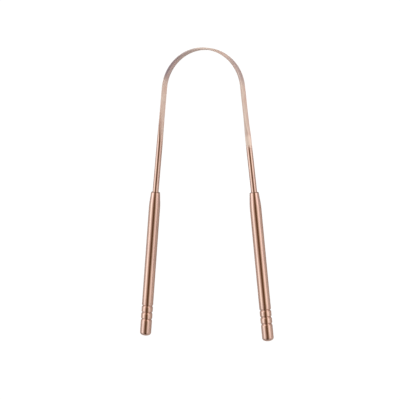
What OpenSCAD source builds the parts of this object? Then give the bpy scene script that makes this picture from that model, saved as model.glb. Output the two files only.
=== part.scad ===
// Copper tongue scraper, lying flat. One length of round wire is bent into a bow and rolled
// flat round its arch. Each end of the wire sits in a tubular handle with a swaged neck,
// and an end plug closes the handle's free end.
// Millimetres. +X is the right handle's side, +Y points to the arch and +Z is up. The origin
// is on the surface the scraper lies on, under the middle of its outline.

/* [Wire] */
// Diameter of the round wire
wire_d = 3.2; // [2.4:0.1:4]
// Thickness of the rolled band
band_t = 1.1; // [0.8:0.1:1.8]
// Width of the rolled band
band_w = 5.4; // [3.6:0.1:5.8]
// Straight flat stretch of each leg, below the arch
flat_leg = 15.5; // [8:0.5:24]
// Stretch of each leg over which the flat runs out into round wire
run_out = 14; // [8:0.5:20]
// Straight round stretch of each leg
round_leg = 23.9; // [10:0.1:34]
// Length of wire inside each handle
wire_seat = 20; // [18:0.5:30]

/* [Stance] */
// Radius of the arch, to the middle of the band
arch_r = 22.3; // [16:0.1:30]
// Angle in degrees between each leg and the centre line
leg_splay = 6.1; // [3:0.1:9]
// Angle in degrees by which each handle turns back in from its leg
handle_turn = 0.85; // [0.3:0.05:2]
// Radius of the bend that turns the handle in
bend_r = 60; // [20:5:120]
// Straight wire between that bend and the handle's mouth
lead_in = 1.2; // [0.4:0.1:4]

/* [Handles] */
// Diameter of the handle's barrel
handle_d = 6; // [5.4:0.1:8]
// Length of a handle from its mouth to the tip of its end plug
handle_l = 77.6; // [60:0.2:95]
// Wall of the handle's tube
handle_wall = 0.7; // [0.6:0.05:0.9]
// Length of the swaged neck
neck_l = 7; // [5:0.5:9]
// Radius that blends the neck into the barrel
neck_blend_r = 45; // [20:1:60]
// Rounding of the rim at the handle's mouth
rim_r = 0.6; // [0.2:0.05:0.6]
// Length of the neck's bore that grips the wire
grip_l = 2.5; // [1.5:0.1:4]

/* [Grooves] */
// Number of grooves rolled into the tube to lock its end plug
crimp_count = 2; // [1:1:3]
// Distance from one groove to the next
groove_pitch = 3.6; // [3:0.1:4.5]
// Depth of each groove
groove_depth = 0.4; // [0.2:0.05:0.5]
// Radius of a groove's hollow
groove_r = 0.5; // [0.4:0.05:0.7]
// Rounding of the shoulders on both sides of a groove
shoulder_r = 0.4; // [0.2:0.05:0.5]

/* [End plugs] */
// Length of the plug's head, from the seam in the last groove to its tip
head_l = 9; // [6:0.2:14]
// Radius of the shallow dome on the plug's end
dome_r = 5; // [4.5:0.5:12]
// Rounding between the dome and the side of the head
corner_r = 1.6; // [0.8:0.1:2]
// Length of the plug's spigot past the groove that is farthest up the tube
spigot_tail = 2.5; // [1.6:0.1:5]
// Chamfer on the spigot's leading edge
spigot_chamfer = 0.3; // [0.1:0.1:0.6]

/* [Wire bushes] */
// Length of the bush that centres the wire's end in the tube
bush_l = 8; // [4:0.5:9]

/* [Fits] */
// Gap all round between pieces that fit one inside the other
fit_gap = 0.05; // [0.02:0.01:0.1]
// Gap between the tube's end and the head of its plug
seam_gap = 0.06; // [0.02:0.01:0.1]

/* [Hidden] */

COPPER = "#c8896b";
DARK_COPPER = "#a9684c";
BRASS = "#c9a35a";

// Segments of a full turn, and steps along the small arcs of an outline
$fn = 96;
arc_steps = 8;
// Rings and corner steps of the run-out from flat to round
run_out_rings = 10;
run_out_steps = 10;
// How far one stretch of the wire reaches into the next, and how much thinner it is there
lap = 0.4;
lap_inset = 0.01;
// How far a cut runs past the piece that it goes through
overrun = 1;

handle_r = handle_d / 2;
bore_r = handle_r - handle_wall;
wire_bore_r = wire_d / 2 + fit_gap;
mouth_r = wire_bore_r + handle_wall;
spigot_r = bore_r - fit_gap;
seam_z = handle_l - head_l;
neck_angle = atan((handle_r - mouth_r) / neck_l);
handle_splay = leg_splay - handle_turn;

// The wire's middle lies at half the height of the thickest piece
axis_z = max(handle_d, band_w) / 2;

// Direction of a leg that opens by an angle, pointing away from the arch, and its outer side
function along(splay) = [sin(splay), -cos(splay)];
function outward(splay) = [cos(splay), sin(splay)];

// Length of a leg from the arch to the bend, and of a handle from the bend to its dome's middle
leg_l = flat_leg + run_out + round_leg;
dome_reach = lead_in + handle_l - dome_r;

// Middle of the right end plug's dome, counted from the middle of the arch
dome_middle = (arch_r - bend_r) * outward(leg_splay) + leg_l * along(leg_splay)
              + bend_r * outward(handle_splay) + dome_reach * along(handle_splay);

// The arch's middle stands so that the outline's length is halved by the X axis
outline_top = arch_r + band_t / 2;
outline_bottom = dome_middle.y - dome_r;
arch_y = -(outline_top + outline_bottom) / 2;

// Points of an arc about a middle, from one angle to another
function arc(middle, r, from, to) =
    [for (i = [0:arc_steps]) let (a = from + (to - from) * i / arc_steps)
        middle + r * [cos(a), sin(a)]];

function reversed(points) = [for (i = [len(points) - 1:-1:0]) points[i]];

// Half angle of a groove's hollow, where it meets its shoulders, and the reach of a shoulder
groove_reach = groove_r + shoulder_r;
groove_angle = acos((groove_reach - groove_depth) / groove_reach);
shoulder_z = groove_reach * sin(groove_angle);

// Outline of a groove in the barrel, as [radius, height] points down the handle. The hollow's
// middle is outside the barrel, and the shoulders' middles are inside it.
function hollow_middle(z) = [handle_r - groove_depth + groove_r, z];
function shoulder_above(z) =
    arc([handle_r - shoulder_r, z - shoulder_z], shoulder_r, 0, groove_angle);
function shoulder_below(z) =
    arc([handle_r - shoulder_r, z + shoulder_z], shoulder_r, -groove_angle, 0);
function groove_outline(z) =
    concat(shoulder_above(z),
           arc(hollow_middle(z), groove_r, 180 + groove_angle, 180 - groove_angle),
           shoulder_below(z));

// Outline of the bead that a groove raises inside the tube, with a gap to leave round it
function bead_outline(z, gap) =
    let (r = groove_r + handle_wall + gap,
         a = acos((hollow_middle(z).x - bore_r + gap) / r))
    arc(hollow_middle(z), r, 180 + a, 180 - a);

// Heights of the grooves above the seam
crimp_zs = [for (k = [crimp_count:-1:1]) seam_z - k * groove_pitch];

// Half of the last groove on each side of the seam
seam_cut = asin(seam_gap / 2 / groove_r);
function seam_above() =
    concat(shoulder_above(seam_z),
           arc(hollow_middle(seam_z), groove_r, 180 + groove_angle, 180 + seam_cut));
function seam_below() =
    concat(arc(hollow_middle(seam_z), groove_r, 180 - seam_cut, 180 - groove_angle),
           shoulder_below(seam_z));

// Neck of the handle: the rim, the swaged cone and the blend into the barrel
function neck_outline() =
    let (rim = [mouth_r + rim_r * tan(neck_angle) - rim_r / cos(neck_angle), rim_r],
         blend = [handle_r - neck_blend_r, neck_l + neck_blend_r * tan(neck_angle / 2)])
    concat(arc(rim, rim_r, -90, -neck_angle), arc(blend, neck_blend_r, -neck_angle, 0));

// Flattens a list of outlines into one list of points
function joined(outlines) = [for (outline = outlines) each outline];

// The arch's frame, turned so that its X axis meets the start of the right leg
module at_arch() {
    translate([0, arch_y, axis_z])
        rotate([0, 0, leg_splay])
            children();
}

// The right leg's frame: +Z runs down the leg from the arch, and +X points outward
module on_leg() {
    at_arch()
        translate([arch_r, 0, 0])
            rotate([90, 0, 0])
                children();
}

// The bend's frame on the right leg, in its middle, with +Z on the bend's own axis
module at_bend() {
    on_leg()
        translate([-bend_r, 0, leg_l])
            rotate([-90, 0, 0])
                children();
}

// The right handle's frame: +Z runs down the handle from its mouth, and +X points outward
module on_handle() {
    at_bend()
        rotate([0, 0, -handle_turn])
            translate([bend_r, 0, 0])
                rotate([90, 0, 0])
                    translate([0, 0, lead_in])
                        children();
}

// Section of the rolled band: X is its thickness and Y its width, with round edges
module band_section() {
    edge = (band_w - band_t) / 2;
    square([band_t, 2 * edge], center = true);
    for (side = [-1, 1])
        translate([0, side * edge])
            circle(d = band_t);
}

// Ring of the leg at a height, after one share of the run-out from flat band to round wire
function leg_ring(share, z) =
    let (ease = share * share * (3 - 2 * share),
         r = (band_t * (1 - ease) + wire_d * ease) / 2 - lap_inset,
         edge = (band_w - band_t) / 2 * (1 - ease))
    [for (side = [0, 1], i = [0:run_out_steps])
        let (a = 180 * (side + i / run_out_steps))
            [r * cos(a), r * sin(a) + (side == 0 ? edge : -edge), z]];

// Flat stretch of the leg and its run-out to round, drawn along +Z from the arch
module flat_and_run_out() {
    rings = concat([leg_ring(0, -lap)],
                   [for (i = [0:run_out_rings])
                       leg_ring(i / run_out_rings, flat_leg + run_out * i / run_out_rings)],
                   [leg_ring(1, flat_leg + run_out + lap)]);
    sides = len(rings[0]);
    last = (len(rings) - 1) * sides;
    walls = [for (k = [0:len(rings) - 2], i = [0:sides - 1])
        let (a = k * sides + i, b = k * sides + (i + 1) % sides)
            each [[a, a + sides, b], [b, a + sides, b + sides]]];
    caps = [[for (i = [0:sides - 1]) i], [for (i = [sides - 1:-1:0]) last + i]];
    polyhedron(points = joined(rings), faces = concat(walls, caps), convexity = 4);
}

// Right leg of the bow, from the arch to the end of the wire inside the handle
module leg() {
    on_leg() {
        flat_and_run_out();
        translate([0, 0, flat_leg + run_out])
            cylinder(d = wire_d, h = round_leg);
    }
    lap_turn = atan(lap / bend_r);
    at_bend()
        rotate([0, 0, -handle_turn - lap_turn])
            rotate_extrude(angle = handle_turn + 2 * lap_turn)
                translate([bend_r, 0])
                    circle(r = wire_d / 2 - lap_inset);
    on_handle()
        translate([0, 0, -lead_in])
            cylinder(d = wire_d, h = lead_in + wire_seat);
}

// The bow: one wire, rolled flat round the arch and left round in the legs
module scraper_bow() {
    color(COPPER) {
        at_arch()
            rotate_extrude(angle = 180 - 2 * leg_splay)
                translate([arch_r, 0])
                    band_section();
        leg();
        mirror([1, 0, 0])
            leg();
    }
}

// Handle tube, drawn from its mouth down +Z: swaged neck, barrel, rolled grooves and seam
module handle_tube() {
    outside = joined([neck_outline(), joined([for (z = crimp_zs) groove_outline(z)]),
                      seam_above()]);
    inside = joined([[[bore_r, seam_z - seam_gap / 2]],
                     joined([for (z = reversed(crimp_zs)) reversed(bead_outline(z, 0))]),
                     [[bore_r, neck_l], [wire_bore_r, grip_l], [wire_bore_r, 0]]]);
    color(COPPER)
        rotate_extrude()
            polygon(concat(outside, inside));
}

// End plug: a spigot locked by the rolled grooves, and a head with a shallow dome
module end_plug() {
    top_z = seam_z - crimp_count * groove_pitch - spigot_tail;
    corner_x = handle_r - corner_r;
    corner_angle = acos(corner_x / (dome_r - corner_r));
    dome_z = handle_l - dome_r;
    corner_z = dome_z + (dome_r - corner_r) * sin(corner_angle);
    spigot = joined([[[0, top_z], [spigot_r - spigot_chamfer, top_z],
                      [spigot_r, top_z + spigot_chamfer]],
                     joined([for (z = crimp_zs) bead_outline(z, fit_gap)]),
                     [[spigot_r, seam_z + seam_gap / 2]]]);
    head = joined([seam_below(),
                   arc([corner_x, corner_z], corner_r, 0, corner_angle),
                   arc([0, dome_z], dome_r, corner_angle, 90)]);
    color(DARK_COPPER)
        rotate_extrude()
            polygon(concat(spigot, head));
}

// Bush that centres the wire's end in the tube, flush with that end
module wire_bush() {
    color(BRASS)
        translate([0, 0, wire_seat - bush_l])
            difference() {
                cylinder(r = spigot_r, h = bush_l);
                translate([0, 0, -overrun])
                    cylinder(r = wire_bore_r, h = bush_l + 2 * overrun);
            }
}

module right_handle() {
    on_handle()
        handle_tube();
}

module left_handle() {
    mirror([1, 0, 0])
        right_handle();
}

module right_end_plug() {
    on_handle()
        end_plug();
}

module left_end_plug() {
    mirror([1, 0, 0])
        right_end_plug();
}

module right_wire_bush() {
    on_handle()
        wire_bush();
}

module left_wire_bush() {
    mirror([1, 0, 0])
        right_wire_bush();
}

scraper_bow();
left_handle();
right_handle();
left_end_plug();
right_end_plug();
left_wire_bush();
right_wire_bush();
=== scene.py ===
import math

import bmesh
import bpy
from mathutils import Euler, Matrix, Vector


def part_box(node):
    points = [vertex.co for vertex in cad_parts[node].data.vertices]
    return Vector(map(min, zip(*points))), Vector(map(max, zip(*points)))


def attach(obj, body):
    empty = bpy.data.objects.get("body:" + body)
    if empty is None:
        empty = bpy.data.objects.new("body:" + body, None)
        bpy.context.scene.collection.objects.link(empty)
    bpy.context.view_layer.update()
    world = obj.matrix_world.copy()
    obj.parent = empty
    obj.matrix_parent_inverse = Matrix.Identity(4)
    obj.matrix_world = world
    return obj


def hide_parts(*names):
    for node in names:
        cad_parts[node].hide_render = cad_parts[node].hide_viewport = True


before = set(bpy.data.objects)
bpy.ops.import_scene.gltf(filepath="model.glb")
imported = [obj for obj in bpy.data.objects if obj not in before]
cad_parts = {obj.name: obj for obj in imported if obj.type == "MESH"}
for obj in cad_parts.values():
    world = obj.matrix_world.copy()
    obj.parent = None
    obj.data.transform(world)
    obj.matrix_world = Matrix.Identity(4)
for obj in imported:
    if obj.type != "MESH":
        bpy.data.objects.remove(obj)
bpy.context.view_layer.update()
bpy.ops.object.select_all(action="DESELECT")

# The wire bow
# One length of hard copper wire, 3.2 mm thick. Its middle is rolled down to a band of 1.1 by
# 5.4 mm and bent round a former, standing on its edge. Each leg runs out from flat to round and
# goes on into its handle, where the neck grips it.
mm = 0.001
wire_radius = 1.6 * mm
band_half_thick = 0.55 * mm
band_spread = 2.15 * mm
arch_radius = 22.3 * mm
leg_open = math.radians(6.1)
flat_leg = 15.5 * mm
run_out = 14 * mm
round_leg = 23.9 * mm
bend_radius = 60 * mm
bend_turn = math.radians(0.85)
lead_in = 1.2 * mm
wire_seat = 20 * mm
wire_chamfer = 0.25 * mm

wire_sides = 48
arch_rings = 72
flat_rings = 4
run_out_rings = 20
round_rings = 6
bend_rings = 4
crease = math.radians(40)

# Points that are less than a hair apart count as being in one place
hair = 0.01 * mm

bow_low, bow_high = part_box("scraper_bow")
axis_height = (bow_low.z + bow_high.z) / 2
arch_middle = Vector((0, bow_high.y - arch_radius - band_half_thick, axis_height))
leg_way = Vector((math.sin(leg_open), -math.cos(leg_open), 0))
leg_out = Vector((math.cos(leg_open), math.sin(leg_open), 0))


def pick(test):
    """Selects the points of the piece being edited whose place passes a test."""
    shape = bmesh.from_edit_mesh(bpy.context.edit_object.data)
    for point in shape.verts:
        point.select_set(bool(test(point.co)))
    shape.select_flush_mode()
    bmesh.update_edit_mesh(bpy.context.edit_object.data)


def draw_on(step, centre, factor=1.0):
    """Extrudes the picked ring by a step and sizes it about its new centre."""
    bpy.ops.mesh.extrude_region_move(TRANSFORM_OT_translate={"value": step})
    if not math.isclose(factor, 1):
        bpy.ops.transform.resize(value=(factor, factor, factor), center_override=centre)


def draw_down(centre, length, rings):
    """Draws the picked ring straight down the page in equal steps and takes its centre along."""
    for ring in range(rings):
        centre.y -= length / rings
        draw_on((0, -length / rings, 0), centre)


def spread_ring(centre, by):
    """Moves the upper half of the ring at a centre up and its lower half down."""
    for side in (1, -1):
        pick(lambda p: abs(p.y - centre.y) < hair and (p.z - centre.z) * side > 0)
        bpy.ops.transform.translate(value=(0, 0, side * by))
    pick(lambda p: abs(p.y - centre.y) < hair)


def begin_editing():
    """Puts the new primitive's place into its mesh and opens it with all its points picked."""
    bpy.ops.object.transform_apply(location=True, rotation=True, scale=True)
    bpy.ops.object.mode_set(mode="EDIT")
    bpy.ops.mesh.select_mode(type="VERT")
    bpy.ops.mesh.select_all(action="SELECT")


def close_up():
    """Merges doubled points, turns all faces outward and leaves edit mode."""
    bpy.ops.mesh.select_all(action="SELECT")
    bpy.ops.mesh.remove_doubles(threshold=0.2 * hair)
    bpy.ops.mesh.normals_make_consistent(inside=False)
    bpy.ops.mesh.select_all(action="DESELECT")
    bpy.ops.object.mode_set(mode="OBJECT")


# The section of the band stands at the top of the right leg, which points down the page for now
half_side = math.pi / wire_sides
centre = arch_middle + Vector((arch_radius, 0, 0))
bpy.ops.mesh.primitive_circle_add(
    vertices=wire_sides,
    radius=band_half_thick / math.cos(half_side),
    location=centre,
    rotation=(math.pi / 2, half_side, 0),
)
bow = bpy.context.object
bow.name = "copper_bow"
begin_editing()
spread_ring(centre, band_spread)
draw_down(centre, flat_leg, flat_rings)

# The run-out, where the flat narrows to a tongue and the wire grows round
radius_now = band_half_thick
spread_now = band_spread
for ring in range(1, run_out_rings + 1):
    share = ring / run_out_rings
    ease = share * share * (3 - 2 * share)
    radius_next = band_half_thick * (1 - ease) + wire_radius * ease
    spread_next = band_spread * (1 - ease)
    factor = radius_next / radius_now
    centre.y -= run_out / run_out_rings
    draw_on((0, -run_out / run_out_rings, 0), centre, factor)
    spread_ring(centre, spread_next - spread_now * factor)
    radius_now = radius_next
    spread_now = spread_next

# The round stretch, the slight bend that turns the handle back in, and the seat in the handle
draw_down(centre, round_leg, round_rings)
bend_middle = centre - Vector((bend_radius, 0, 0))
bpy.ops.mesh.spin(steps=bend_rings, angle=bend_turn, center=bend_middle, axis=(0, 0, 1))
seat_way = Vector((-math.sin(bend_turn), -math.cos(bend_turn), 0))
centre = bend_middle + bend_radius * Vector((math.cos(bend_turn), -math.sin(bend_turn), 0))
for length in (lead_in, wire_seat / 2, wire_seat / 2 - wire_chamfer):
    centre += seat_way * length
    draw_on(seat_way * length, centre)
centre += seat_way * wire_chamfer
draw_on(seat_way * wire_chamfer, centre, 1 - wire_chamfer / wire_radius)
bpy.ops.mesh.edge_face_add()

# Half of the arch, bent round its middle. Then the whole leg swings open by its splay.
half_arch = math.pi / 2 - leg_open
pick(lambda p: abs(p.y - arch_middle.y) < hair)
bpy.ops.mesh.spin(steps=arch_rings, angle=-half_arch, center=arch_middle, axis=(0, 0, 1))
bpy.ops.mesh.select_all(action="SELECT")
bpy.ops.transform.rotate(value=-leg_open, orient_axis="Z", center_override=arch_middle)
close_up()

# The left half is the mirror image of the right one, and they join at the top of the arch
bpy.ops.object.modifier_add(type="MIRROR")
bow.modifiers[-1].merge_threshold = hair
bpy.ops.object.modifier_apply(modifier=bow.modifiers[-1].name)
bpy.ops.object.shade_smooth_by_angle(angle=crease)

# Each point notes its place on the wire: how far it is from the top of the arch, how far out
# from the wire's middle, and how high. The finish of the wire follows these.
noted = bow.data.attributes.new("wire_place", "FLOAT_VECTOR", "POINT")
for point in bow.data.vertices:
    out = Vector((abs(point.co.x), point.co.y - arch_middle.y, 0))
    turned = math.atan2(out.x, out.y)
    if turned <= half_arch:
        run = arch_radius * turned
        across = out.length - arch_radius
    else:
        run = arch_radius * half_arch + out.dot(leg_way)
        across = out.dot(leg_out) - arch_radius
    rise = point.co.z - axis_height
    noted.data[point.index].vector = (math.copysign(run, point.co.x), across, rise)


def put(tree, value, socket):
    """Links a socket to an input, or writes a plain number, vector or colour into it."""
    if isinstance(value, bpy.types.NodeSocket):
        tree.links.new(value, socket)
    elif socket.type == "RGBA":
        socket.default_value = (*value, 1)
    else:
        socket.default_value = value


def add(tree, kind, inputs=None, **settings):
    """Adds a node to a tree, with its settings and what goes into its inputs."""
    made = tree.nodes.new(kind)
    for name, value in settings.items():
        setattr(made, name, value)
    for label, value in (inputs or {}).items():
        put(tree, value, made.inputs[label])
    return made


def maths(tree, operation, *values):
    """The result of a math node on sockets or plain numbers."""
    return add(tree, "ShaderNodeMath", dict(enumerate(values)), operation=operation).outputs[0]


def vector_maths(tree, operation, *values, result="Vector"):
    """The result of a vector math node on sockets or plain vectors: a vector, or a Value."""
    made = add(tree, "ShaderNodeVectorMath", dict(enumerate(values)), operation=operation)
    return made.outputs[result]


def scaled(tree, vector, by):
    """A vector times a plain number."""
    made = add(tree, "ShaderNodeVectorMath", {0: vector, "Scale": by}, operation="SCALE")
    return made.outputs["Vector"]


def weigh(tree, start, *shares):
    """A number that starts at a value and adds each mask times its weight."""
    total = start
    for mask, weight in shares:
        total = maths(tree, "MULTIPLY_ADD", mask, weight, total)
    return total


def fade(tree, value, start, end, first=0.0, last=1.0, shape="LINEAR"):
    """A number that goes from first to last while the value goes from start to end."""
    ends = {"From Min": start, "From Max": end, "To Min": first, "To Max": last}
    made = add(tree, "ShaderNodeMapRange", {"Value": value, **ends}, interpolation_type=shape)
    return made.outputs["Result"]


def mix_number(tree, share, first, second):
    """A number between two others by a share."""
    return add(tree, "ShaderNodeMix", {"Factor": share, 2: first, 3: second}).outputs[0]


def mix_colour(tree, share, first, second):
    """A colour between two others by a share, where each is a socket or a plain colour."""
    made = add(tree, "ShaderNodeMix", {"Factor": share, 6: first, 7: second}, data_type="RGBA")
    return made.outputs[2]


def group_with(name, inputs, output):
    """A shader node group with number and vector inputs at their usual values, and a number out."""
    tree = bpy.data.node_groups.new(name, "ShaderNodeTree")
    for label, value in inputs.items():
        kind = "NodeSocketVector" if isinstance(value, tuple) else "NodeSocketFloat"
        socket = tree.interface.new_socket(name=label, in_out="INPUT", socket_type=kind)
        socket.default_value = value
    tree.interface.new_socket(name=output, in_out="OUTPUT", socket_type="NodeSocketFloat")
    return tree, tree.nodes.new("NodeGroupInput"), tree.nodes.new("NodeGroupOutput")


def use_group(tree, group, place, inputs=None):
    """Places a group in a material, reads the given place and sets its other inputs."""
    made = add(tree, "ShaderNodeGroup", {}, node_tree=group)
    for label, value in {"Place": place, **(inputs or {})}.items():
        put(tree, value, made.inputs[label])
    return made.outputs[0]


# Toning: the soft cloudy darkening that bare copper takes on in patches some millimetres wide
toning, given, result = group_with("toning", {"Place": (0, 0, 0), "Patch": 8.0}, "Mask")
per_patch = maths(toning, "DIVIDE", 1.0, given.outputs["Patch"])
cloud = add(
    toning,
    "ShaderNodeTexNoise",
    {"Vector": given.outputs["Place"], "Scale": per_patch, "Detail": 4.0, "Roughness": 0.58},
)
patches = fade(toning, cloud.outputs["Fac"], 0.38, 0.66, shape="SMOOTHSTEP")
put(toning, patches, result.inputs["Mask"])

# Fine lines: the marks of drawing, rolling, turning or buffing. Stretch squeezes the pattern
# along the lines, so they come out long and thin.
fine_lines, given, result = group_with(
    "fine_lines", {"Place": (0, 0, 0), "Stretch": (0.03, 6.0, 6.0)}, "Height"
)
squeezed = vector_maths(fine_lines, "MULTIPLY", given.outputs["Place"], given.outputs["Stretch"])
grain = add(
    fine_lines,
    "ShaderNodeTexNoise",
    {"Vector": squeezed, "Scale": 1.0, "Detail": 3.0, "Roughness": 0.6},
)
put(fine_lines, grain.outputs["Fac"], result.inputs["Height"])

# Handling marks: sparse hair-thin scratches from use, broken up so that none runs far
handling_marks, given, result = group_with(
    "handling_marks", {"Place": (0, 0, 0), "Stretch": (0.15, 0.9, 0.9)}, "Mask"
)
squeezed = vector_maths(handling_marks, "MULTIPLY", given.outputs["Place"], given.outputs["Stretch"])
cells = add(
    handling_marks,
    "ShaderNodeTexVoronoi",
    {"Vector": squeezed, "Scale": 1.0},
    feature="DISTANCE_TO_EDGE",
)
breaks = add(
    handling_marks,
    "ShaderNodeTexNoise",
    {"Vector": given.outputs["Place"], "Scale": 0.5, "Detail": 2.0},
)
hairs = fade(handling_marks, cells.outputs["Distance"], 0.0, 0.02, first=1.0, last=0.0)
kept = fade(handling_marks, breaks.outputs["Fac"], 0.56, 0.66)
put(handling_marks, maths(handling_marks, "MULTIPLY", hairs, kept), result.inputs["Mask"])


def metal(name):
    """A material with a bare metal shader, and its tree."""
    made = bpy.data.materials.new(name)
    made.use_nodes = True
    shader = made.node_tree.nodes["Principled BSDF"]
    shader.inputs["Metallic"].default_value = 1
    return made, made.node_tree, shader


def lay_on(tree, shader, body, dull, height, deep, strength=0.5):
    """Gives the shader its colour, its roughness and a surface relief of a depth in metres."""
    relief = add(
        tree, "ShaderNodeBump", {"Height": height, "Distance": deep, "Strength": strength}
    )
    put(tree, body, shader.inputs["Base Color"])
    put(tree, dull, shader.inputs["Roughness"])
    put(tree, relief.outputs["Normal"], shader.inputs["Normal"])


# The wire's finish. The round legs are drawn and buffed bright. The rolls leave the band more
# satin, with lines along it, and the satin reaches a little further down the right leg and down
# the faces than down the edges. The copper is toned faintly mauve. Both shoulders carry painted
# shade, a darker mauve that stands in for the shadowed table they mirror, most on the left one's
# edges and the right one's faces. A painted highlight lies on the end of the flat, on top of the
# right leg.
fresh_copper = (0.93, 0.635, 0.505)
toned_copper = (0.80, 0.515, 0.425)
satin_copper = (0.922, 0.733, 0.628)
# Painted shade for the shoulders, a dark mauve
shoulder_shade_copper = (0.38, 0.28, 0.31)
# Painted highlight for the end of the flat
tongue_highlight_copper = (1.0, 0.80, 0.68)

# Where these lie, in millimetres: along the wire from the top of the arch, or for edge and top
# from the wire's middle up. Ends are where something starts to change and where it is done. The
# painted shade of the left shoulder starts sooner on the edges and runs out slowly towards the top.
left_satin_ends = (56.0, 69.0)
right_satin_ends = (63.6, 70.1)
left_shoulder = 21.5
right_shoulder = 23.5
edge_sooner = 2.0
slow_start = 5.4
slow_share = 0.2
shoulder_shade_ends = (4.0, 11.0)
tongue = 61.5
tongue_ends = (1.5, 4.0)
edge_ends = (1.5, 2.4)
top_ends = (-0.2, 1.1)
leg_change = (-3.0, 3.0)


def rolled_satin(tree, run, rise, on_right):
    """The satin of the band, which ends sooner on the edges than on the faces."""
    legs = []
    for edge_lead, ends in ((6.0, left_satin_ends), (2.0, right_satin_ends)):
        reach = weigh(tree, 0.0, (run, 1.0), (rise, edge_lead))
        legs.append(fade(tree, reach, *ends, first=1.0, last=0.0, shape="SMOOTHSTEP"))
    return mix_number(tree, on_right, *legs)


def painted_shoulder_shade(tree, run, rise, on_right):
    """Painted shade on both shoulders, by how far past or before its shoulder a point is."""
    edges = fade(tree, rise, *edge_ends)
    past_left = weigh(tree, -left_shoulder, (run, 1.0), (edges, edge_sooner))
    past_right = weigh(tree, -right_shoulder, (run, 1.0))
    past = mix_number(tree, on_right, past_left, past_right)
    before_left = weigh(tree, slow_start, (past, -slow_share))
    before_right = weigh(tree, 0.0, (past, -1.0))
    before = mix_number(tree, on_right, before_left, before_right)
    away = maths(tree, "MAXIMUM", past, before)
    near = fade(tree, away, *shoulder_shade_ends, first=1.0, last=0.0, shape="SMOOTHSTEP")
    left_depth = fade(tree, rise, *edge_ends, first=0.5, last=0.95)
    right_depth = fade(tree, rise, *edge_ends, first=0.52, last=0.3)
    return maths(tree, "MULTIPLY", near, mix_number(tree, on_right, left_depth, right_depth))


def painted_tongue_highlight(tree, run, height, on_right):
    """A painted highlight on the end of the flat, on the upper side of the right leg."""
    away = maths(tree, "ABSOLUTE", weigh(tree, -tongue, (run, 1.0)))
    near = fade(tree, away, *tongue_ends, first=1.0, last=0.0, shape="SMOOTHSTEP")
    on_top = fade(tree, height, *top_ends)
    return maths(tree, "MULTIPLY", near, maths(tree, "MULTIPLY", on_right, on_top))


def wire_finish(name):
    """Drawn copper wire with a satin band, painted shade on the shoulders and a painted highlight on
    the tongue.
    """
    made, tree, shader = metal(name)
    noted = add(tree, "ShaderNodeAttribute", attribute_name="wire_place")
    place = scaled(tree, noted.outputs["Vector"], 1 / mm)
    parts = add(tree, "ShaderNodeSeparateXYZ", {0: place})
    run = maths(tree, "ABSOLUTE", parts.outputs["X"])
    rise = maths(tree, "ABSOLUTE", parts.outputs["Z"])
    on_right = fade(tree, parts.outputs["X"], *leg_change)
    satin = rolled_satin(tree, run, rise, on_right)
    shoulder_shade = painted_shoulder_shade(tree, run, rise, on_right)
    tongue_highlight = painted_tongue_highlight(tree, run, parts.outputs["Z"], on_right)
    clouds = use_group(tree, toning, place, {"Patch": 7.0})
    lines = use_group(tree, fine_lines, place, {"Stretch": (0.05, 7.0, 7.0)})
    marks = use_group(tree, handling_marks, place, {"Stretch": (0.12, 0.8, 0.8)})
    body = mix_colour(tree, satin, fresh_copper, satin_copper)
    toned = weigh(tree, 0.3, (clouds, 0.45), (satin, -0.3))
    body = mix_colour(tree, toned, body, toned_copper)
    # Painted shade darkens both shoulders
    body = mix_colour(tree, shoulder_shade, body, shoulder_shade_copper)
    # Painted highlight on the end of the flat
    body = mix_colour(tree, weigh(tree, 0.0, (tongue_highlight, 0.8)), body, tongue_highlight_copper)
    worn = weigh(tree, 0.08, (lines, 0.06), (clouds, 0.05), (marks, 0.1))
    dull = weigh(tree, worn, (satin, 0.32), (tongue_highlight, 0.15))
    bare = weigh(tree, 1.0, (satin, -0.55), (tongue_highlight, -0.35))
    put(tree, bare, shader.inputs["Metallic"])
    lay_on(tree, shader, body, dull, weigh(tree, 0.0, (lines, 1.0), (marks, -0.6)), 0.004 * mm)
    return made


bow.data.materials.append(wire_finish("wire_copper"))
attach(bow, "root")
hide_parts("scraper_bow")

# The handles
# Each handle is a drawn copper tube of 6 mm, with a wall of 0.7 mm. Its neck is swaged down onto
# the wire and its rim is rounded. Two rolled grooves near the lower end lock the end plug, and
# half of a third groove is turned on its end, against the plug's head.
barrel_radius = 3 * mm
handle_wall = 0.7 * mm
bore_radius = barrel_radius - handle_wall
wire_bore = 1.65 * mm
mouth_radius = wire_bore + handle_wall
neck_length = 7 * mm
neck_blend = 45 * mm
rim_round = 0.6 * mm
grip_length = 2.5 * mm
groove_pitch = 3.6 * mm
groove_depth = 0.4 * mm
groove_hollow = 0.5 * mm
shoulder_round = 0.4 * mm
handle_length = 77.6 * mm
head_length = 9 * mm
half_seam = 0.03 * mm
bead_room = 1.2 * mm
tube_sides = 96
turned_crease = math.radians(35)

handle_open = leg_open - bend_turn
handle_way = Vector((math.sin(handle_open), -math.cos(handle_open), 0))
handle_out = Vector((math.cos(handle_open), math.sin(handle_open), 0))
mouth = arch_middle + (arch_radius - bend_radius) * leg_out + bend_radius * handle_out
mouth += (flat_leg + run_out + round_leg) * leg_way + lead_in * handle_way

seam = handle_length - head_length
locks = [seam - 2 * groove_pitch, seam - groove_pitch]
neck_angle = math.atan((barrel_radius - mouth_radius) / neck_length)
groove_turn = math.acos(1 - groove_depth / (groove_hollow + shoulder_round))
shoulder_reach = (groove_hollow + shoulder_round) * math.sin(groove_turn)
hollow_out = barrel_radius - groove_depth + groove_hollow
seam_turn = math.asin(half_seam / groove_hollow)


def arc(out, along, radius, first, last, steps):
    """Points of an arc in the outline, as distances from the axis and along it."""
    turns = [first + (last - first) * k / steps for k in range(steps + 1)]
    return [(out + radius * math.cos(t), along + radius * math.sin(t)) for t in turns]


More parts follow.
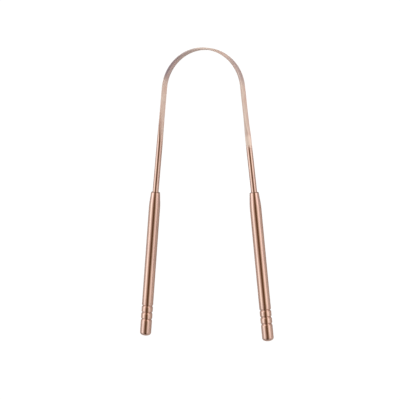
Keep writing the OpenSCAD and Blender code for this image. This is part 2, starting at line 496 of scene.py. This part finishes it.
def groove_top(at):
    """The rounded shoulder that leads down into a groove."""
    top = at - shoulder_reach
    return arc(barrel_radius - shoulder_round, top, shoulder_round, 0, groove_turn, steps=7)


def groove_foot(at):
    """The rounded shoulder that leads back out of a groove."""
    foot = at + shoulder_reach
    return arc(barrel_radius - shoulder_round, foot, shoulder_round, -groove_turn, 0, steps=7)


def hollow(at, first, last):
    """The hollow at the bottom of a groove, between two turns from the outward way."""
    return arc(hollow_out, at, groove_hollow, math.pi + first, math.pi - last, steps=10)


def bead(at, gap):
    """The bead that a rolled groove raises inside the tube, with a gap round it."""
    size = groove_hollow + handle_wall + gap
    turn = math.acos((hollow_out - bore_radius + gap) / size)
    return arc(hollow_out, at, size, math.pi + turn, math.pi - turn, steps=10)


def straight(radius, first, last, steps):
    """Points along a straight stretch of the outline, without its ends."""
    return [(radius, first + (last - first) * k / steps) for k in range(1, steps)]


def draw_outline(name, outline):
    """Starts at the outline's first point with a ring about the handle's axis, and draws it on."""
    radius, along = outline[0]
    bpy.ops.mesh.primitive_circle_add(
        vertices=tube_sides,
        radius=radius,
        location=mouth + handle_way * along,
        rotation=(math.pi / 2, 0, handle_open),
    )
    piece = bpy.context.object
    piece.name = name
    begin_editing()
    for radius_next, along_next in outline[1:]:
        step = handle_way * (along_next - along)
        draw_on(step, mouth + handle_way * along_next, radius_next / radius)
        radius = radius_next
        along = along_next
    return piece


# The outline runs from the bore out over the rim, down the barrel and back up through the bore
rim_out = mouth_radius + rim_round * math.tan(neck_angle) - rim_round / math.cos(neck_angle)
blend_along = neck_length + neck_blend * math.tan(neck_angle / 2)
outline = [(wire_bore, 0)]
outline += arc(rim_out, rim_round, rim_round, -math.pi / 2, -neck_angle, steps=8)
outline += arc(barrel_radius - neck_blend, blend_along, neck_blend, -neck_angle, 0, steps=12)
outline += straight(barrel_radius, blend_along, locks[0] - shoulder_reach, steps=24)
for lock in locks:
    outline += groove_top(lock) + hollow(lock, groove_turn, groove_turn)[1:-1] + groove_foot(lock)
outline += groove_top(seam) + hollow(seam, groove_turn, -seam_turn)[1:]
outline += [(bore_radius, seam - half_seam)]
for lock in reversed(locks):
    outline += reversed(bead(lock, 0))
outline += straight(bore_radius, locks[0] - bead_room, neck_length, steps=8)
outline += [(bore_radius, neck_length), (wire_bore, grip_length), (wire_bore, 0)]
right_handle = draw_outline("right_copper_handle", outline)
close_up()
bpy.ops.object.shade_smooth_by_angle(angle=turned_crease)


def mirrored(piece, name):
    """A copy of a right-hand piece with its own mesh, mirrored to the left."""
    bpy.ops.object.select_all(action="DESELECT")
    piece.select_set(True)
    bpy.context.view_layer.objects.active = piece
    bpy.ops.object.duplicate(linked=False)
    copy = bpy.context.object
    copy.name = name
    bpy.ops.transform.resize(value=(-1, 1, 1), center_override=(0, 0, 0))
    begin_editing()
    close_up()
    return copy


left_handle = mirrored(right_handle, "left_copper_handle")


def handle_place(tree, side):
    """The place on a handle in millimetres, with Y along its axis."""
    seen = add(tree, "ShaderNodeTexCoord").outputs["Object"]
    at_mouth = {
        "Vector": seen,
        "Location": (side * mouth.x, mouth.y, mouth.z),
        "Rotation": (0, 0, side * handle_open),
    }
    turned = add(tree, "ShaderNodeMapping", at_mouth, vector_type="TEXTURE")
    return scaled(tree, turned.outputs["Vector"], 1 / mm)


def along_handle(tree, place):
    """How far a place is along the handle: 0 at the mouth, and less than 0 down from there."""
    return add(tree, "ShaderNodeSeparateXYZ", {0: place}).outputs["Y"]


# Recess: how deep a point lies under the barrel's surface, for the tarnish that polishing
# leaves in the grooves. It starts past the neck.
past_neck = -12.0
recess_depths = (0.03, 0.36)
recess, given, result = group_with(
    "recess", {"Place": (0, 0, 0), "Barrel": barrel_radius / mm}, "Mask"
)
from_axis = vector_maths(recess, "MULTIPLY", given.outputs["Place"], (1, 0, 1))
reach = vector_maths(recess, "LENGTH", from_axis, result="Value")
below = maths(recess, "SUBTRACT", given.outputs["Barrel"], reach)
deep = fade(recess, below, *recess_depths, shape="SMOOTHSTEP")
on_barrel = maths(recess, "LESS_THAN", along_handle(recess, given.outputs["Place"]), past_neck)
put(recess, maths(recess, "MULTIPLY", deep, on_barrel), result.inputs["Mask"])

# The tubes' finish. Its ends are in millimetres along the handle, 0 at the mouth and less below.
barrel_copper = (0.91, 0.598, 0.472)
# Tarnish in the grooves, also used as painted shade on the plugs' tips
tarnish_and_tip_shade_copper = (0.50, 0.27, 0.19)
# Painted shade for the rim at the mouth
rim_shade_copper = (0.20, 0.10, 0.07)
toned_neck_ends = (-9.0, -4.0)
rim_shade_ends = (-0.6, -0.3)


def tube_finish(name, side):
    """Buffed copper tube: rings from the buffing wheel, toned neck, painted shade on the rim, and
    grooves.
    """
    made, tree, shader = metal(name)
    place = handle_place(tree, side)
    clouds = use_group(tree, toning, place, {"Patch": 9.0})
    lines = use_group(tree, fine_lines, place, {"Stretch": (0.35, 5.0, 0.35)})
    marks = use_group(tree, handling_marks, place, {"Stretch": (0.7, 0.25, 0.7)})
    sunk = use_group(tree, recess, place)
    neck = fade(tree, along_handle(tree, place), *toned_neck_ends)
    # Painted shade: the rim is darkened, for the shade in the gap round the wire
    rim_shade = fade(tree, along_handle(tree, place), *rim_shade_ends, last=0.65)
    toned = weigh(tree, 0.0, (clouds, 0.5), (marks, 0.2), (neck, 0.45))
    body = mix_colour(tree, toned, barrel_copper, toned_copper)
    body = mix_colour(tree, weigh(tree, 0.0, (sunk, 0.25)), body, tarnish_and_tip_shade_copper)
    body = mix_colour(tree, rim_shade, body, rim_shade_copper)
    dull = weigh(tree, 0.10, (clouds, 0.05), (lines, 0.05), (marks, 0.12), (sunk, 0.06))
    lay_on(tree, shader, body, dull, weigh(tree, 0.0, (lines, 1.0), (marks, -0.5)), 0.003 * mm)
    return made


for piece, node, side in ((left_handle, "left_handle", -1), (right_handle, "right_handle", 1)):
    piece.data.materials.append(tube_finish(node + "_copper", side))
    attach(piece, "root")
    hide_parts(node)

# The end plugs
# A plug turned from copper bar closes the lower end of each handle. Its spigot goes up inside the
# tube, where the two rolled grooves lock it, and its head has a rounded edge and a shallow dome.
dome_radius = 5 * mm
dome_short = 0.01 * mm
dome_start = math.radians(89)
corner_round = 1.6 * mm
spigot_radius = 2.25 * mm
spigot_tail = 2.5 * mm
spigot_chamfer = 0.3 * mm
fit_gap = 0.05 * mm

spigot_top = locks[0] - spigot_tail
corner_out = barrel_radius - corner_round
corner_turn = math.acos(corner_out / (dome_radius - corner_round))
dome_along = handle_length - dome_short - dome_radius
corner_along = dome_along + (dome_radius - corner_round) * math.sin(corner_turn)

# The outline runs from the spigot's inner end down its side and over the head to the dome's tip
outline = [(spigot_radius - spigot_chamfer, spigot_top)]
outline += [(spigot_radius, spigot_top + spigot_chamfer)]
for lock in locks:
    outline += bead(lock, fit_gap)
outline += [(spigot_radius, seam + half_seam)]
outline += hollow(seam, -seam_turn, groove_turn) + groove_foot(seam)[1:]
outline += straight(barrel_radius, seam + shoulder_reach, corner_along, steps=4)
outline += arc(corner_out, corner_along, corner_round, 0, corner_turn, steps=12)
outline += arc(0, dome_along, dome_radius, corner_turn, dome_start, steps=8)[1:]
right_plug = draw_outline("right_copper_plug", outline)
bpy.ops.mesh.merge(type="CENTER")
pick(lambda p: abs((p - mouth).dot(handle_way) - spigot_top) < hair)
bpy.ops.mesh.edge_face_add()
close_up()
bpy.ops.object.shade_smooth_by_angle(angle=turned_crease)
left_plug = mirrored(right_plug, "left_copper_plug")

# The plugs' finish. Their recess is measured from a slightly smaller barrel, so that it keeps to
# the groove and the rounded edge. The tip of the dome has painted shade, for the dark it mirrors.
plug_barrel = 2.98
tip_shade_ends = (-76.9, -77.4)


def bar_finish(name, side):
    """Turned and buffed copper bar, with finer rings than the tube's and painted shade on its tip.
    """
    made, tree, shader = metal(name)
    place = handle_place(tree, side)
    clouds = use_group(tree, toning, place, {"Patch": 5.0})
    lines = use_group(tree, fine_lines, place, {"Stretch": (0.5, 8.0, 0.5)})
    marks = use_group(tree, handling_marks, place, {"Stretch": (0.9, 0.9, 0.4)})
    sunk = use_group(tree, recess, place, {"Barrel": plug_barrel})
    # Painted shade darkens the tip of the dome
    tip_shade = fade(tree, along_handle(tree, place), *tip_shade_ends, last=0.5)
    toned = weigh(tree, 0.08, (clouds, 0.5), (marks, 0.3))
    body = mix_colour(tree, toned, barrel_copper, toned_copper)
    body = mix_colour(tree, tip_shade, body, tarnish_and_tip_shade_copper)
    dull = weigh(tree, 0.12, (clouds, 0.06), (lines, 0.05), (marks, 0.12), (sunk, 0.04))
    lay_on(tree, shader, body, dull, weigh(tree, 0.0, (lines, 1.0), (marks, -0.5)), 0.003 * mm)
    return made


for piece, node, side in ((left_plug, "left_end_plug", -1), (right_plug, "right_end_plug", 1)):
    piece.data.materials.append(bar_finish(node + "_copper", side))
    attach(piece, "root")
    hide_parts(node)

# The wire bushes
# A short brass sleeve, turned from rod and pushed onto each end of the wire, centres it in the
# handle. It can't be seen, and its CAD solid has the right shape, so only its finish is made.
bright_brass = (0.80, 0.62, 0.33)
dull_brass = (0.55, 0.40, 0.20)


def brass_finish(name, side):
    """Turned brass with plain tool rings and a little dulling."""
    made, tree, shader = metal(name)
    place = handle_place(tree, side)
    clouds = use_group(tree, toning, place, {"Patch": 3.0})
    lines = use_group(tree, fine_lines, place, {"Stretch": (0.3, 9.0, 0.3)})
    body = mix_colour(tree, clouds, bright_brass, dull_brass)
    dull = weigh(tree, 0.22, (clouds, 0.1), (lines, 0.1))
    lay_on(tree, shader, body, dull, lines, 0.006 * mm, strength=0.6)
    return made


for node, side in (("left_wire_bush", -1), ("right_wire_bush", 1)):
    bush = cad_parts[node]
    bush.data.materials.clear()
    bush.data.materials.append(brass_finish(node + "_brass", side))

# The table and the light
# The scraper lies on a plain white table, in soft light from two long boxes beside the camera.
# The camera stands to the right of the scraper, nearly square to it.
table_size = 6
camera_place = (0.296687, 0.027936, 0.711561)
camera_turn = Euler((math.radians(-2.592), math.radians(22.859), math.radians(-0.666)))
view_width = math.radians(15.5787)


def table_finish(name):
    """A white top that takes the scraper's shadow and looks greyer where metal mirrors it."""
    made = bpy.data.materials.new(name)
    made.use_nodes = True
    tree = made.node_tree
    tree.nodes.clear()
    rays = add(tree, "ShaderNodeLightPath")
    seen = rays.outputs["Is Camera Ray"]
    seen_through = rays.outputs["Is Transmission Ray"]
    mirrored_in = rays.outputs["Is Glossy Ray"]
    own_light = weigh(tree, 0.0, (seen, 0.97), (seen_through, 0.97), (mirrored_in, 0.05))
    paint = weigh(tree, 0.85, (seen, -0.73), (seen_through, -0.73), (mirrored_in, -0.21))
    matt = add(tree, "ShaderNodeBsdfDiffuse", {"Color": paint})
    glow = add(tree, "ShaderNodeEmission", {"Color": (1, 1, 1), "Strength": own_light})
    both = add(tree, "ShaderNodeAddShader", {0: matt.outputs[0], 1: glow.outputs[0]})
    add(tree, "ShaderNodeOutputMaterial", {"Surface": both.outputs[0]})
    return made


bpy.ops.object.select_all(action="DESELECT")
bpy.ops.mesh.primitive_plane_add(size=table_size, location=(0, 0, 0))
table = bpy.context.object
table.name = "table"
bpy.ops.object.transform_apply(location=True, rotation=True, scale=True)
table.data.materials.append(table_finish("white_table"))

# The room. It is dark behind the camera, bright in the two boxes and plain beyond them, and its
# colours follow the degrees from the camera about the length of the table. All of it is brighter
# towards the arch's end, by how far a ray points to that end, from -1 to 1.
room_light = 1.65
level_share = 0.67
half_room = 120
round_the_room = [
    (-half_room, (0.29, 0.29, 0.30)),
    (-100, (0.32, 0.32, 0.33)),
    (-66, (0.81, 0.90, 0.95)),
    (-38, (0.37, 0.335, 0.315)),
    (-20, (0.118, 0.083, 0.056)),
    (-4, (0.068, 0.036, 0.013)),
    (10, (0.110, 0.076, 0.046)),
    (26, (0.40, 0.38, 0.34)),
    (42, (0.68, 0.70, 0.73)),
    (54, (0.63, 0.64, 0.67)),
    (76, (0.34, 0.345, 0.36)),
    (half_room, (0.25, 0.25, 0.25)),
]
end_to_end = [
    (-0.9, 0.25),
    (-0.5, 0.37),
    (-0.25, 0.55),
    (0.0, level_share),
    (0.15, 0.77),
    (0.4, 0.97),
    (0.7, 0.7),
    (1.0, 0.5),
]


def ramp_of(tree, value, low, high, stops, shape="LINEAR"):
    """A colour ramp whose stops are given on the value's own scale, from low to high."""
    made = add(tree, "ShaderNodeValToRGB", {"Fac": fade(tree, value, low, high)})
    ramp = made.color_ramp
    ramp.interpolation = shape
    while len(ramp.elements) > 1:
        ramp.elements.remove(ramp.elements[-1])
    for k, (at, colour) in enumerate(stops):
        share = (at - low) / (high - low)
        stop = ramp.elements[0] if k == 0 else ramp.elements.new(share)
        stop.position = share
        stop.color = (*colour, 1)
    return made.outputs["Color"]


room = bpy.data.worlds.new("room")
bpy.context.scene.world = room
room.use_nodes = True
tree = room.node_tree
tree.nodes.clear()
ray = add(tree, "ShaderNodeTexCoord").outputs["Generated"]
to_right, to_arch, to_camera = [
    vector_maths(tree, "DOT_PRODUCT", ray, way, result="Value")
    for way in camera_turn.to_matrix().col
]
turn = maths(tree, "DEGREES", maths(tree, "ARCTAN2", to_right, to_camera))
boxes = ramp_of(tree, turn, -half_room, half_room, round_the_room, "EASE")
greys = [(at, (value, value, value)) for at, value in end_to_end]
lean = ramp_of(tree, to_arch, -1, 1, greys)
leaned = vector_maths(tree, "MULTIPLY", boxes, lean)
lit = scaled(tree, leaned, room_light / level_share)
seen = add(tree, "ShaderNodeLightPath").outputs["Is Camera Ray"]
shown = mix_colour(tree, seen, lit, (1, 1, 1))
background = add(tree, "ShaderNodeBackground", {"Color": shown})
add(tree, "ShaderNodeOutputWorld", {"Surface": background.outputs[0]})

# Three low lamps, one on the right and weaker ones at the handles' end and on the left, light the
# satin faces and edges of the band that look their way. The polished copper does not show them.
lamp_aim = Vector((0, 0.05, 0))
lamp_length = 0.25
lamp_width = 0.1
for name, place, power in (
    ("side_lamp", (0.6, 0.2, 0.16), 1.4),
    ("handle_end_lamp", (0.15, -0.55, 0.14), 0.9),
    ("left_lamp", (-0.6, 0.0, 0.3), 0.5),
):
    bpy.ops.object.light_add(type="AREA", location=place)
    lamp = bpy.context.object
    lamp.name = name
    lamp.rotation_euler = (lamp_aim - lamp.location).to_track_quat("-Z", "Y").to_euler()
    lamp.data.shape = "RECTANGLE"
    lamp.data.size = lamp_length
    lamp.data.size_y = lamp_width
    lamp.data.energy = power
    lamp.visible_camera = False
    lamp.visible_glossy = False

# The camera, 0.77 m away, turned 22.9 degrees towards the right of the scraper
bpy.ops.object.camera_add(location=camera_place, rotation=camera_turn)
camera = bpy.context.object
camera.data.sensor_width = 36
camera.data.angle = view_width
camera.data.clip_start = 0.01
bpy.context.scene.camera = camera
bpy.context.scene.view_settings.view_transform = "Standard"
